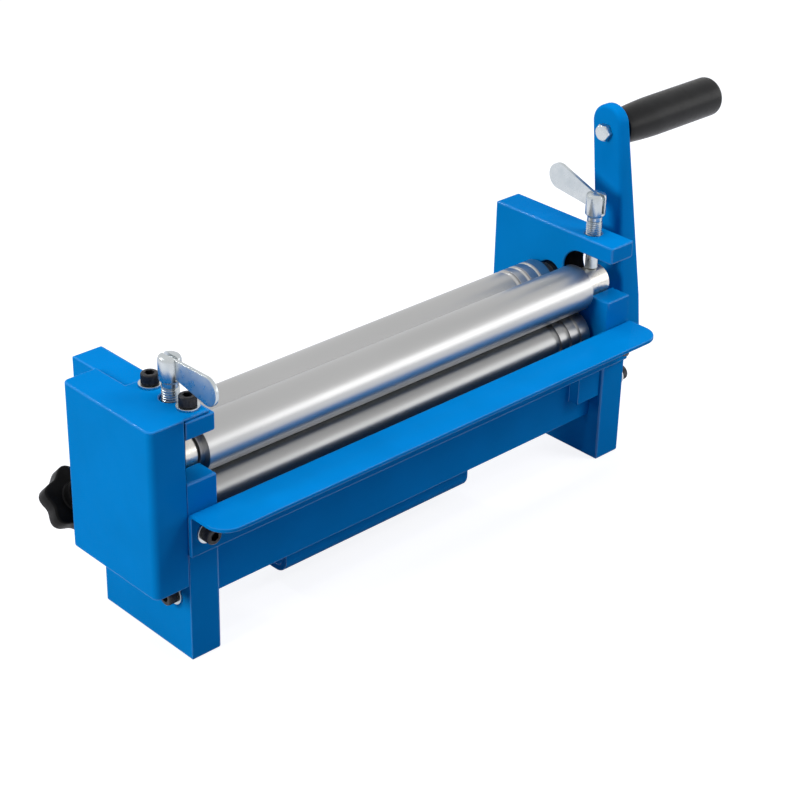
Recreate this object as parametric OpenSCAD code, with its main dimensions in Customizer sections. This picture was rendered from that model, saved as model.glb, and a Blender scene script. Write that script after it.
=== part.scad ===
// Hand plate rolling machine: three rollers between two side plates, turned by a crank.
// x runs along the rollers toward the crank, y from the feed table to the back, z up.
// The modules count x from the left plate's inner face, y from the plates' front and
// z from the feet. The whole machine then moves to stand centred on its origin.

/* [Rollers] */
// Diameter of the three rollers
roller_d = 30; // [26:0.5:31]
// Working length of a roller
face_len = 305; // [220:5:400]
// Gap between a roller's end face and a side plate
end_gap = 3.5; // [2.5:0.5:6]
// Gap between the upper and the lower roller
pinch_gap = 0.5; // [0.3:0.1:0.8]
// Gap between the rear and the upper roller
rear_gap = 3.8; // [3.4:0.1:6]
// Angle by which the rear roller lies below the upper one
rear_angle = 13.3; // [8:0.5:18]
// Diameter of the journals at the rollers' ends
journal_d = 12; // [10:0.5:12.5]
// Diameter of the collars that space the rollers from their bearings
collar_d = 20; // [14:0.5:21]
// Number of wire grooves near the crank end
grooves = 3; // [1:1:4]
// Distance of the first groove from the roller's end, and from groove to groove
groove_pitch = 9.5; // [8:0.5:14]
// Width of the first groove
groove_w = 2.5; // [1.5:0.25:3]
// Growth in width from one groove to the next
groove_growth = 1; // [0.5:0.25:1.5]

/* [Side plates] */
// Thickness of a side plate
plate_t = 20; // [16:1:24]
// Depth of the plates at the top
top_depth = 100; // [94:1:120]
// Depth of the plates' feet
foot_depth = 80; // [70:1:86]
// Height of the lower roller's axis
lower_z = 86; // [80:1:100]
// Distance of the upper and lower axes behind the plates' front
roller_y = 24.5; // [23:0.5:30]
// Height of the open slot above the lower jaw
slot_h = 26; // [24:0.5:30]
// Depth of that slot
slot_depth = 39.3; // [37:0.3:42]
// Height of the upper axis above the lower jaw
saddle_rise = 3.5; // [2:0.5:5]
// Height of the upper jaw
jaw_h = 11; // [9:0.5:18]
// Distance from the rear axis to the slanted edge under the plate's back
slant_dist = 46.2; // [42:0.6:52]

/* [Bushes and blocks] */
// Outer diameter of the upper roller's bushes
upper_bush_d = 20; // [18:0.5:21]
// Length by which they stand out of the plates' inner faces
upper_bush_proud = 0; // [0:0.1:1.5]
// Length of the right bush inside its plate
right_bush_in = 18; // [14:0.5:20]
// Outer diameter of the lower bushes
lower_bush_d = 16; // [15:0.5:18]
// Width of the rear bearing blocks
block_w = 18; // [17:0.5:20]
// Length of the rear bearing blocks
block_len = 30; // [28:0.5:34]
// Travel of the rear roller toward the upper one
travel_in = 3; // [1:0.5:3]
// Travel of the rear roller away from it
travel_out = 10; // [6:0.5:12]

/* [Feed table] */
// Thickness of the bent sheet
table_t = 2.5; // [1.5:0.25:4]
// Height of the table's upper face
table_z = 96; // [92:0.5:99]
// Depth of the table in front of the plates
table_depth = 29; // [22:1:45]
// Height of the leg that lies on the plates
table_leg = 27.6; // [24:0.4:32]
// Outer radius of the bend
table_bend_r = 4; // [4:0.5:6]
// Radius of the table's front corners
table_corner_r = 13; // [6:1:20]
// Distance of the table's screws below its upper face
table_screw_drop = 14.5; // [13:0.5:17]

/* [Tie and vise angle] */
// Distance of the tie bar behind the plates' front
tie_y = 9.5; // [8:0.5:11]
// Thickness of the tie bar
tie_t = 8; // [8:0.5:10]
// Height of the tie bar's lower edge
tie_z = 30.5; // [27:0.5:33]
// Height of the tie bar
tie_h = 39.5; // [32:0.5:41]
// Height of the lower tie screws above the bar's lower edge
tie_screw_rise = 8; // [7:0.5:10]
// Distance between the two tie screws of one side
tie_screw_pitch = 16; // [14:0.5:20]
// Depth of the lug in front of the bar's right end
lug_depth = 7.5; // [7:0.25:8]
// Height of the lower screw in that lug
lug_screw_z = 53; // [48:0.5:53]
// Distance of the vise angle from the left plate
vise_x = 62.5; // [20:0.5:120]
// Length of the vise angle
vise_len = 148; // [80:1:180]
// Thickness of the vise angle's legs
vise_t = 4; // [3:0.5:6]
// Height of the vise angle's lower face
vise_z = 11; // [8:0.5:14]
// Radius of its rounded heel
vise_heel = 9; // [7:0.5:12]
// Height of its standing leg
vise_leg_h = 50; // [48:1:56]
// Depth of its lying leg
vise_leg_w = 24; // [16:1:34]
// Distance of its screws from its ends
vise_screw_inset = 24; // [12:1:36]

/* [Gear cover] */
// Depth of the cover outside the left plate
cover_depth = 22.6; // [22.2:0.2:30]
// Thickness of the cover's sheet
cover_t = 2; // [1:0.25:2]
// Length of the cover from front to back
cover_len = 77; // [60:1:92]
// Height of the cover's open lower edge
cover_z = 49; // [40:1:60]
// Radius of the cover's upright corners
cover_r = 4; // [3:0.5:6]
// Reach of the cover's tongue over the plate's top
tongue_reach = 17; // [16:0.5:19]
// Width of the tongue from front to back
tongue_w = 50; // [49:0.5:60]
// Distance of the tongue's front edge behind the plate's front
tongue_front = 0.8; // [0.5:0.1:1.5]
// Width of the tongue's notch round the thumb screw
tongue_notch = 12.5; // [12:0.5:13]
// Distance of the cover's front screw behind the plate's front
cover_screw_front = 10; // [9:0.5:10]
// Distance of the cover's rear screw behind the plate's front
cover_screw_back = 42.5; // [41:0.5:43]

/* [Gears] */
// Number of teeth on each gear
teeth = 15; // [12:1:17]
// Width of the teeth
gear_w = 12; // [8:0.5:12]
// Length of a gear's hub
gear_hub_len = 2; // [1:0.5:2]
// Diameter of a gear's hub
gear_hub_d = 20; // [17:0.5:22]
// Depth of the flat on the driven journals
flat_depth = 1.5; // [1:0.25:2.5]

/* [Crank] */
// Distance from the crank's axis to the handle
crank_r = 123; // [122:1:180]
// Angle by which the crank leans back
crank_lean = 6.4; // [0:0.2:30]
// Width of the crank arm
arm_w = 23; // [20:0.5:28]
// Length of the arm below the roller's axis
arm_below = 12; // [10:0.5:14]
// Thickness of the arm at its hub
arm_hub_t = 18; // [14:0.5:22]
// Thickness of the arm at its free end
arm_end_t = 9; // [7:0.5:12]
// Length of the arm past the handle's bolt
arm_over = 17; // [12:0.5:18]
// Gap between the right plate and the arm
arm_gap = 11; // [8:0.5:16]
// Diameter of the boss in that gap
boss_d = 22; // [19:0.5:26]
// Length of the grip
grip_len = 90; // [70:1:120]
// Diameter of the grip beside the arm
grip_root_d = 22; // [18:0.5:24]
// Greatest diameter of the grip
grip_d = 25.5; // [24:0.5:32]
// Diameter of the grip near its free end
grip_end_d = 25.5; // [20:0.5:30]
// Diameter of the bolt that the grip turns on
grip_bolt_d = 6; // [5:0.5:8]

/* [Thumb screws] */
// Diameter of the thumb screws
thumb_d = 10; // [8:0.5:11]
// Diameter of their smooth tips
thumb_tip_d = 8; // [6:0.5:8]
// Length of thread that shows above the plate
thumb_show = 13; // [9:0.5:18]
// Diameter of the forked head
fork_d = 12.8; // [12:0.2:14]
// Height of the forked head
fork_h = 14; // [13:0.5:18]
// Thickness of the tab in the fork
tab_t = 2.2; // [1.5:0.1:3]
// Distance from the pin to the tab's tip
tab_len = 40; // [30:1:50]
// Height of the tab at the pin
tab_root_h = 10; // [8:0.5:10]
// Height of the tab near its tip
tab_tip_h = 17; // [12:0.5:18]
// Diameter of the tab's pin
tab_pin_d = 3; // [2:0.25:4]
// Droop of the left tab
left_tab_droop = 5; // [0:1:12]
// Rise of the right tab
right_tab_rise = 14; // [0:1:20]

/* [Adjusting screws] */
// Diameter of the adjusting screws
adjust_d = 8; // [6:0.5:10]
// Depth to which a screw's end sits in its block
adjust_seat = 5; // [3:0.5:6]
// Length of screw between the plate and the knob's hub
adjust_show = 31; // [16:1:31]
// Diameter of a star knob over its lobes
knob_d = 40; // [32:1:41]
// Number of lobes
knob_lobes = 6; // [5:1:8]
// Depth of the hollows between the lobes
knob_hollow = 3.4; // [1.5:0.1:4]
// Thickness of the knob
knob_t = 12; // [9:0.5:16]
// Radius of the knob's rounded rim
knob_round = 1.5; // [1:0.25:4]
// Diameter of the knob's hub
knob_hub_d = 18; // [14:0.5:22]
// Length of the knob's hub
knob_hub_len = 8; // [5:0.5:14]

/* [Fasteners and fits] */
// Diameter of the socket screws
screw_d = 6; // [5:0.5:6]
// Length of the socket screws under their heads
screw_len = 16; // [14:0.5:18]
// Thickness of the washers
washer_t = 1.5; // [1:0.1:2]
// Radial clearance of a turning or sliding part
run_gap = 0.06; // [0.02:0.01:0.09]
// Radial clearance of a fixed screw in its hole
hole_gap = 0.1; // [0.05:0.05:0.2]
// Clearance between faces that pass one another
side_gap = 0.3; // [0.2:0.05:0.5]

/* [Hidden] */
$fn = 72;
eps = 0.01;

inner_w = face_len + 2 * end_gap;
right_x = inner_w + plate_t;
left_mid_x = -plate_t / 2;
right_mid_x = inner_w + plate_t / 2;
upper_z = lower_z + roller_d + pinch_gap;
jaw_z = upper_z - saddle_rise;
plate_h = jaw_z + slot_h + jaw_h;
rear_y = roller_y + (roller_d + rear_gap) * cos(rear_angle);
rear_z = upper_z - (roller_d + rear_gap) * sin(rear_angle);

// The rear roller slides along a line at 45 degrees, down toward the back.
slide_angle = 45;
slant_sum = rear_y - rear_z + slant_dist * sqrt(2);
block_end = block_len / 2;
tie_mid_y = tie_y + tie_t / 2;
tie_screw_low = tie_z + tie_screw_rise;
tie_back = tie_y + tie_t;
tie_skin = 1;
lug_len = 20;
lug_y = tie_y - lug_depth;
lug_screw_part = 0.6;
lug_screw_y = lug_y + lug_screw_part * lug_depth;
lug_margin = screw_d;
lug_root = 2;

gear_module = (roller_d + pinch_gap) / (teeth + 0.25);
pressure_angle = 20;
tooth_thinning = 0.05;
gear_in_x = -plate_t - side_gap;
gear_out_x = gear_in_x - gear_hub_len - gear_w;
gear_bolt_d = 6;
gear_bolt_head = 3;
gear_washer_t = 1.2;

hub_in_x = right_x + side_gap;
arm_x = right_x + arm_gap;
arm_slope = (arm_hub_t - arm_end_t) / (crank_r + arm_over - arm_w / 2);
arm_t_at_bolt = arm_hub_t - arm_slope * (crank_r - arm_w / 2);
grip_x = arm_x + arm_t_at_bolt + arm_slope * grip_root_d / 2 + side_gap;
handle_y = roller_y + crank_r * sin(crank_lean);
handle_z = lower_z + crank_r * cos(crank_lean);
handle_head_h = 4.5;
grip_swell = 0.38;
crank_bolt_d = 6;
crank_head_h = 4;
journal_tap_len = 16;

thumb_tip_z = upper_z + upper_bush_d / 2 + run_gap;
thumb_thread_z = jaw_z + slot_h - 2;
fork_z = plate_h + thumb_show;
neck_z = fork_z - 2;
tab_pin_z = fork_z + fork_h - tab_root_h / 2 - 0.8;
tab_slot_w = tab_t + 2 * run_gap;
tab_spread = (tab_tip_h - tab_root_h) / (2 * tab_len - tab_tip_h);
tab_floor = fork_d / 2 * sin(left_tab_droop)
    + (tab_root_h / 2 + tab_spread * fork_d / 2) * cos(left_tab_droop) + run_gap;

knob_dist = slant_dist + adjust_show + knob_hub_len;
head_d = 1.5 * screw_d + 1;
washer_d = 2 * screw_d + 1;

// The machine's outer limits place it centred on its origin.
x_min = -plate_t - cover_depth;
x_max = grip_x + grip_len;
y_min = -table_depth;
y_max = rear_y + (knob_dist + knob_t / 2 + knob_reach()) / sqrt(2);
function knob_reach() = knob_t / 2 - knob_round + knob_d / 2 - knob_round + knob_round * sqrt(2);

module placed() {
    translate([-(x_min + x_max) / 2, -(y_min + y_max) / 2, 0])
        children();
}

// Stands children's z axis along x, at the given point.
module along_x(x, y, z) {
    translate([x, y, z])
        rotate([0, 90, 0])
            children();
}

// Extrudes a profile drawn in y and z along x, from x on.
module profile_x(x, length) {
    translate([x, 0, 0])
        rotate([90, 0, 90])
            linear_extrude(length)
                children();
}

// Carries children to a rear bearing, their z axis down along the slide.
module along_slide(x) {
    translate([x, rear_y, rear_z])
        rotate([-90 - slide_angle, 0, 0])
            children();
}

// A bar with round ends, drawn along the first axis.
module stadium(length, width) {
    square([length - width, width], center = true);
    for (side = [-1, 1])
        translate([side * (length - width) / 2, 0])
            circle(d = width);
}

// A cylinder with a chamfered upper rim.
module chamfered(d, h, c) {
    cylinder(d = d, h = h - c);
    translate([0, 0, h - c])
        cylinder(d1 = d, d2 = d - 2 * c, h = c);
}

// Socket screw: its head stands on z = 0 and its shank points down.
module socket_screw(d, length) {
    socket_w = 0.95 * d;
    difference() {
        union() {
            chamfered(1.5 * d + 1, d, 0.1 * d);
            translate([0, 0, -length])
                cylinder(d = d, h = length + eps);
        }
        translate([0, 0, d / 2])
            cylinder(d = socket_w, h = d, $fn = 6);
    }
}

// Hexagon bolt: its head stands on z = 0 and its shank points down.
module hex_bolt(d, length, head_h) {
    across_corners = 1.87 * d;
    intersection() {
        cylinder(d = across_corners, h = head_h, $fn = 6);
        chamfered(across_corners, head_h, 0.12 * d);
    }
    translate([0, 0, -length])
        cylinder(d = d, h = length + eps);
}

// Washer lying on z = 0.
module washer(d_in, d_out, t) {
    difference() {
        cylinder(d = d_out, h = t);
        translate([0, 0, -eps])
            cylinder(d = d_in + 2 * hole_gap, h = t + 2 * eps);
    }
}

// Places for the table's screws, z pointing out of the table's leg.
module at_table_screws(lift) {
    for (x = [left_mid_x, right_mid_x])
        translate([x, -table_t - lift, table_z - table_screw_drop])
            rotate([90, 0, 0])
                children();
}

// Places for one side's tie screws, z pointing out of the plate. The left ones enter the
// bar itself, below the gears, and the right ones enter its lug.
module at_tie_screws(side, lift) {
    x = side < 0 ? -plate_t - lift : right_x + lift;
    y = side < 0 ? tie_mid_y : lug_screw_y;
    low = side < 0 ? tie_screw_low : lug_screw_z;
    for (z = [low, low + tie_screw_pitch])
        translate([x, y, z])
            rotate([0, side * 90, 0])
                children();
}

// Places for the cover's screws, z pointing up from the tongue.
module at_cover_screws(lift) {
    for (y = [cover_screw_front, cover_screw_back])
        translate([left_mid_x, y, plate_h + cover_t + lift])
            children();
}

// Places for the vise angle's screws, z pointing back.
module at_vise_screws() {
    for (x = [vise_x + vise_screw_inset, vise_x + vise_len - vise_screw_inset])
        translate([x, tie_back + vise_t, tie_z + tie_h / 2])
            rotate([-90, 0, 0])
                children();
}

// Side plate outline in y and z: a boot with a slanted heel, an open slot with a
// saddle for the upper bush, a bore for the lower one and a slanted rear slot.
module plate_outline() {
    saddle_r = upper_bush_d / 2 + side_gap;
    rear_slot_len = block_len + travel_in + travel_out + 2 * side_gap;
    difference() {
        polygon([[0, 0], [foot_depth, 0], [foot_depth, foot_depth - slant_sum],
            [top_depth, top_depth - slant_sum], [top_depth, plate_h], [0, plate_h]]);
        translate([-eps, jaw_z])
            square([slot_depth - slot_h / 2 + eps, slot_h]);
        translate([slot_depth - slot_h / 2, jaw_z + slot_h / 2])
            circle(d = slot_h);
        translate([roller_y, upper_z])
            circle(r = saddle_r);
        translate([roller_y, lower_z])
            circle(d = lower_bush_d + 2 * hole_gap);
        translate([rear_y, rear_z])
            rotate(-slide_angle)
                translate([(travel_out - travel_in) / 2, 0])
                    stadium(rear_slot_len, block_w + 2 * run_gap);
    }
}

module side_plate(x) {
    mid_x = x + plate_t / 2;
    screw_r = screw_d / 2 + hole_gap;
    difference() {
        profile_x(x, plate_t)
            plate_outline();
        translate([mid_x, roller_y, jaw_z + slot_h / 2])
            cylinder(r = thumb_d / 2 + run_gap, h = slot_h + jaw_h);
        along_slide(mid_x)
            translate([0, 0, block_end])
                cylinder(r = adjust_d / 2 + run_gap, h = slant_dist);
        translate([mid_x, -eps, table_z - table_screw_drop])
            rotate([-90, 0, 0])
                cylinder(r = screw_r, h = screw_len);
        at_tie_screws(x < 0 ? -1 : 1, eps)
            translate([0, 0, -plate_t - 2 * eps])
                cylinder(r = screw_r, h = plate_t + 3 * eps);
    }
}

module left_side_plate() {
    color("dodgerblue")
        difference() {
            side_plate(-plate_t);
            at_cover_screws(0)
                translate([0, 0, -cover_t - screw_len])
                    cylinder(r = screw_d / 2 + hole_gap, h = screw_len + eps);
        }
}

module right_side_plate() {
    color("dodgerblue")
        side_plate(inner_w);
}

// Feed table: sheet bent over the plates' front, with round front corners.
module front_table() {
    table_w = inner_w + 2 * plate_t;
    color("dodgerblue")
        difference() {
            intersection() {
                profile_x(-plate_t, table_w)
                    difference() {
                        union() {
                            translate([-table_depth, table_z - table_t])
                                square([table_depth - table_bend_r + eps, table_t]);
                            translate([-table_t, table_z - table_leg])
                                square([table_t, table_leg - table_bend_r + eps]);
                            translate([-table_bend_r, table_z - table_bend_r])
                                intersection() {
                                    circle(r = table_bend_r);
                                    square(table_bend_r);
                                }
                        }
                        translate([-table_bend_r, table_z - table_bend_r])
                            circle(r = table_bend_r - table_t);
                    }
                union() {
                    translate([-plate_t, -table_depth + table_corner_r, 0])
                        cube([table_w, table_depth - table_corner_r, plate_h]);
                    for (x = [-plate_t + table_corner_r, right_x - table_corner_r])
                        translate([x, -table_depth + table_corner_r, 0])
                            cylinder(r = table_corner_r, h = plate_h);
                    translate([-plate_t + table_corner_r, -table_depth, 0])
                        cube([table_w - 2 * table_corner_r, table_depth, plate_h]);
                }
            }
            at_table_screws(0)
                translate([0, 0, -2 * table_t])
                    cylinder(r = screw_d / 2 + hole_gap, h = 4 * table_t);
        }
}

module table_screws() {
    color("black")
        at_table_screws(washer_t)
            socket_screw(screw_d, screw_len);
}

module table_washers() {
    color("silver")
        at_table_screws(0)
            washer(screw_d, washer_d, washer_t);
}

// Tie bar between the plates with a lug at its right end, tapped at both ends and at
// the back for the vise angle.
module tie_bar() {
    lug_z = lug_screw_z - lug_margin;
    color("dodgerblue")
        difference() {
            union() {
                translate([0, tie_y, tie_z])
                    cube([inner_w, tie_t, tie_h]);
                translate([inner_w - lug_len, lug_y, lug_z])
                    cube([lug_len, lug_depth + lug_root, tie_screw_pitch + 2 * lug_margin]);
            }
            for (side = [-1, 1])
                at_tie_screws(side, 0)
                    translate([0, 0, -plate_t - screw_len])
                        cylinder(r = screw_d / 2 + hole_gap, h = 2 * screw_len);
            at_vise_screws()
                translate([0, 0, -vise_t - tie_t + tie_skin])
                    cylinder(r = screw_d / 2 + hole_gap, h = tie_t);
        }
}

module tie_screws() {
    color("black")
        for (side = [-1, 1])
            at_tie_screws(side, washer_t)
                socket_screw(screw_d, washer_t + plate_t + screw_len - 1);
}

module tie_washers() {
    color("silver")
        for (side = [-1, 1])
            at_tie_screws(side, 0)
                washer(screw_d, washer_d, washer_t);
}

// Angle that a vise grips, screwed to the back of the tie bar.
module vise_angle() {
    color("dodgerblue")
        difference() {
            profile_x(vise_x, vise_len)
                translate([tie_back, vise_z])
                    difference() {
                        union() {
                            translate([0, vise_heel])
                                square([vise_t, vise_leg_h - vise_heel]);
                            translate([vise_heel, 0])
                                square([vise_leg_w - vise_heel, vise_t]);
                            translate([vise_heel, vise_heel])
                                intersection() {
                                    circle(r = vise_heel);
                                    translate([-vise_heel, -vise_heel])
                                        square(vise_heel + eps);
                                }
                        }
                        translate([vise_heel, vise_heel])
                            circle(r = vise_heel - vise_t);
                    }
            at_vise_screws()
                translate([0, 0, -2 * vise_t])
                    cylinder(r = screw_d / 2 + hole_gap, h = 4 * vise_t);
        }
}

module vise_screws() {
    color("black")
        at_vise_screws()
            socket_screw(screw_d, vise_t + tie_t - tie_skin - 0.5);
}

// Cover outline in x and y, drawn inward by the given wall.
module cover_outline(wall) {
    r = cover_r - wall;
    back = cover_len - wall;
    outer = x_min + wall;
    for (y = [wall + r, back - r])
        translate([outer + r, y])
            circle(r = r);
    translate([outer, wall + r])
        square([-plate_t - outer, back - wall - 2 * r]);
    translate([outer + r, wall])
        square([-plate_t - outer - r, back - wall]);
}

// Gear cover: open below and toward the plate, with a notched tongue on the plate's top.
module gear_cover() {
    color("dodgerblue")
        difference() {
            union() {
                translate([0, 0, cover_z])
                    linear_extrude(plate_h + cover_t - cover_z)
                        cover_outline(0);
                translate([-plate_t - eps, tongue_front, plate_h])
                    cube([tongue_reach + eps, tongue_w, cover_t]);
            }
            translate([0, 0, cover_z - eps])
                linear_extrude(plate_h - cover_z + eps)
                    cover_outline(cover_t);
            translate([-plate_t - 1, cover_t, cover_z - eps])
                cube([2, cover_len - 2 * cover_t, plate_h - cover_z + eps]);
            at_cover_screws(0)
                translate([0, 0, -2 * cover_t])
                    cylinder(r = screw_d / 2 + hole_gap, h = 4 * cover_t);
            translate([left_mid_x, roller_y, plate_h - eps]) {
                cylinder(d = tongue_notch, h = cover_t + 2 * eps);
                translate([0, -tongue_notch / 2, 0])
                    cube([tongue_reach, tongue_notch, cover_t + 2 * eps]);
            }
        }
}

module cover_screws() {
    color("black")
        at_cover_screws(washer_t)
            socket_screw(screw_d, screw_len);
}

module cover_washers() {
    color("silver")
        at_cover_screws(0)
            washer(screw_d, washer_d, washer_t);
}

// Plain bush of the lower roller, as long as the plate is thick.
module lower_bush(x) {
    color("peru")
        along_x(x, roller_y, lower_z)
            difference() {
                cylinder(d = lower_bush_d, h = plate_t);
                translate([0, 0, -eps])
                    cylinder(r = journal_d / 2 + run_gap, h = plate_t + 2 * eps);
            }
}

module lower_bush_left() {
    lower_bush(-plate_t);
}

module lower_bush_right() {
    lower_bush(inner_w);
}

// Roller body on the x axis, with collars out to the given ends.
module roller_body(left_end, right_end) {
    along_x(end_gap, 0, 0)
        cylinder(d = roller_d, h = face_len);
    along_x(left_end, 0, 0)
        cylinder(d = collar_d, h = right_end - left_end);
}

// Half-round wire grooves, widening from the crank end inward.
module wire_grooves() {
    for (i = [0 : grooves - 1])
        along_x(inner_w - end_gap - groove_pitch * (i + 1), 0, 0)
            rotate_extrude()
                translate([roller_d / 2, 0])
                    circle(d = groove_w + groove_growth * i, $fn = 24);
}

// Journal with a flat along its top from x to x + length.
module flat_journal(x, length) {
    along_x(x, 0, 0)
        difference() {
            cylinder(d = journal_d, h = length);
            translate([-journal_d / 2 - eps, -journal_d / 2, -eps])
                cube([flat_depth + eps, journal_d, length + 2 * eps]);
        }
}

// Bore that fits that journal.
module flat_bore(length) {
    difference() {
        cylinder(r = journal_d / 2 + run_gap, h = length);
        translate([-journal_d, -journal_d / 2, -eps])
            cube([journal_d / 2 + flat_depth - run_gap, journal_d, length + 2 * eps]);
    }
}

// Tapped hole in a journal's end face at x, running along dir.
module journal_tap(x, dir, d) {
    along_x(dir > 0 ? x - eps : x - journal_tap_len, 0, 0)
        cylinder(r = d / 2 + hole_gap, h = journal_tap_len + eps);
}

module lower_roller() {
    shaft_left = gear_out_x + side_gap;
    shaft_right = arm_x + arm_hub_t - side_gap;
    color("gainsboro")
        translate([0, roller_y, lower_z])
            difference() {
                union() {
                    roller_body(side_gap, inner_w - side_gap);
                    along_x(-plate_t - side_gap, 0, 0)
                        cylinder(d = journal_d, h = inner_w + 2 * plate_t + 2 * side_gap);
                    flat_journal(shaft_left, gear_in_x - shaft_left + eps);
                    flat_journal(hub_in_x - eps, shaft_right - hub_in_x + eps);
                }
                wire_grooves();
                journal_tap(shaft_left, 1, gear_bolt_d);
                journal_tap(shaft_right, -1, crank_bolt_d);
            }
}

// Involute spur gear around z, teeth on the second axis, from z = 0 to the given width.
module spur_gear(width) {
    pitch_r = gear_module * teeth / 2;
    base_r = pitch_r * cos(pressure_angle);
    tip_r = pitch_r + gear_module;
    root_r = pitch_r - 1.25 * gear_module;
    flank_steps = 5;
    half_tooth = 90 / teeth - tooth_thinning / pitch_r * 180 / PI + involute_angle(pitch_r, base_r);
    radii = [for (i = [0 : flank_steps]) base_r + (tip_r - base_r) * i / flank_steps];
    flank = [for (r = radii) half_tooth - involute_angle(r, base_r)];
    points = [for (k = [0 : teeth - 1]) let (mid = 90 + k * 360 / teeth)
        each concat(
            [polar(root_r, mid - half_tooth)],
            [for (i = [0 : flank_steps]) polar(radii[i], mid - flank[i])],
            [for (i = [flank_steps : -1 : 0]) polar(radii[i], mid + flank[i])],
            [polar(root_r, mid + half_tooth)])];
    linear_extrude(width)
        polygon(points);
}

function involute_angle(r, base_r) = sqrt(pow(r / base_r, 2) - 1) * 180 / PI - acos(base_r / r);
function polar(r, angle) = [r * cos(angle), r * sin(angle)];

// Gear with its hub, on the journals' left ends at the given height.
module shaft_gear(z) {
    color("dimgray")
        translate([gear_in_x, roller_y, z])
            rotate([0, -90, 0])
                difference() {
                    union() {
                        cylinder(d = gear_hub_d, h = gear_hub_len + eps);
                        translate([0, 0, gear_hub_len])
                            rotate(-90)
                                spur_gear(gear_w);
                    }
                    translate([0, 0, -eps])
                        mirror([1, 0, 0])
                            flat_bore(gear_hub_len + gear_w + 2 * eps);
                }
}

// Washer and bolt that hold a gear on its journal.
module gear_washer(z) {
    color("silver")
        translate([gear_out_x, roller_y, z])
            rotate([0, -90, 0])
                washer(gear_bolt_d, journal_d + 4, gear_washer_t);
}

module gear_bolt(z) {
    color("silver")
        translate([gear_out_x - gear_washer_t, roller_y, z])
            rotate([0, -90, 0])
                hex_bolt(gear_bolt_d, gear_washer_t + journal_tap_len - 1, gear_bolt_head);
}

module lower_gear() {
    shaft_gear(lower_z);
}

module lower_gear_washer() {
    gear_washer(lower_z);
}

module lower_gear_bolt() {
    gear_bolt(lower_z);
}

module upper_gear() {
    shaft_gear(upper_z);
}

module upper_gear_washer() {
    gear_washer(upper_z);
}

module upper_gear_bolt() {
    gear_bolt(upper_z);
}

// Moves children from the crank's own axes, arm along z, to their place.
module at_crank() {
    translate([arm_x, roller_y, lower_z])
        rotate([-crank_lean, 0, 0])
            children();
}

// Crank arm: flat toward the plates, tapering in thickness from hub to free end.
module crank_arm() {
    end_r = arm_w / 2;
    tip_z = crank_r + arm_over;
    color("dodgerblue")
        at_crank()
            difference() {
                union() {
                    intersection() {
                        rotate([90, 0, 90])
                            linear_extrude(arm_hub_t)
                                union() {
                                    translate([-end_r, -arm_below])
                                        square([arm_w, arm_below + tip_z - end_r]);
                                    translate([0, tip_z - end_r])
                                        circle(r = end_r);
                                }
                        rotate([90, 0, 0])
                            translate([0, 0, -arm_w])
                                linear_extrude(2 * arm_w)
                                    polygon([[0, -arm_w], [arm_hub_t, -arm_w], [arm_hub_t, end_r],
                                        [arm_end_t, tip_z], [arm_end_t, tip_z + 1], [0, tip_z + 1]]);
                    }
                    along_x(hub_in_x - arm_x, 0, 0)
                        cylinder(d = boss_d, h = arm_x - hub_in_x + eps);
                }
                rotate([crank_lean, 0, 0])
                    along_x(hub_in_x - arm_x - eps, 0, 0)
                        flat_bore(arm_gap + arm_hub_t + 1);
                along_x(-eps, 0, crank_r)
                    cylinder(d = grip_bolt_d + 2 * hole_gap, h = arm_hub_t);
            }
}

module crank_washer() {
    color("silver")
        along_x(arm_x + arm_hub_t, roller_y, lower_z)
            washer(crank_bolt_d, journal_d + 3, washer_t);
}

module crank_bolt() {
    color("silver")
        along_x(arm_x + arm_hub_t + washer_t, roller_y, lower_z)
            hex_bolt(crank_bolt_d, washer_t + journal_tap_len - 1, crank_head_h);
}

// Bolt that the grip turns on, its head on the arm's inner face.
module handle_bolt() {
    bolt_len = arm_t_at_bolt + 0.8 * grip_len;
    color("silver")
        translate([arm_x, handle_y, handle_z])
            rotate([-crank_lean, 0, 0])
                rotate([0, -90, 0])
                    hex_bolt(grip_bolt_d, bolt_len, handle_head_h);
}

// Grip: a turned outline that swells from the arm and rounds off at the free end.
module crank_grip() {
    swell_z = grip_swell * grip_len;
    end_round = 4;
    root_r = grip_root_d / 2;
    swell_r = grip_d / 2;
    end_r = grip_end_d / 2;
    neck = [for (i = [0 : 6]) let (t = i / 6)
        [root_r + (swell_r - root_r) * sin(90 * t), 1 + (swell_z - 1) * t]];
    tail = [for (i = [1 : 5]) let (t = i / 5)
        [swell_r + (end_r - swell_r) * t * t, swell_z + (grip_len - end_round - swell_z) * t]];
    tip = [for (i = [1 : 5]) let (a = 18 * i)
        [end_r - end_round * (1 - cos(a)), grip_len - end_round * (1 - sin(a))]];
    color("black")
        along_x(grip_x, handle_y, handle_z)
            difference() {
                rotate_extrude()
                    polygon(concat([[0, 0], [root_r - 1, 0]], neck, tail, tip, [[0, grip_len]]));
                translate([0, 0, -eps])
                    cylinder(r = grip_bolt_d / 2 + run_gap, h = 0.8 * grip_len + eps);
            }
}

// Plain bush on the upper roller's journal, resting in the plate's saddle.
module upper_bush(x, length) {
    rim = 1;
    color("tan")
        along_x(x, roller_y, upper_z)
            difference() {
                union() {
                    translate([0, 0, rim])
                        cylinder(d = upper_bush_d, h = length - 2 * rim);
                    cylinder(d1 = upper_bush_d - 2 * rim, d2 = upper_bush_d, h = rim);
                    translate([0, 0, length - rim])
                        cylinder(d1 = upper_bush_d, d2 = upper_bush_d - 2 * rim, h = rim);
                }
                translate([0, 0, -eps])
                    cylinder(r = journal_d / 2 + run_gap, h = length + 2 * eps);
            }
}

module upper_bush_left() {
    upper_bush(-plate_t, plate_t + upper_bush_proud);
}

module upper_bush_right() {
    upper_bush(inner_w - upper_bush_proud, upper_bush_proud + right_bush_in);
}

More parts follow.
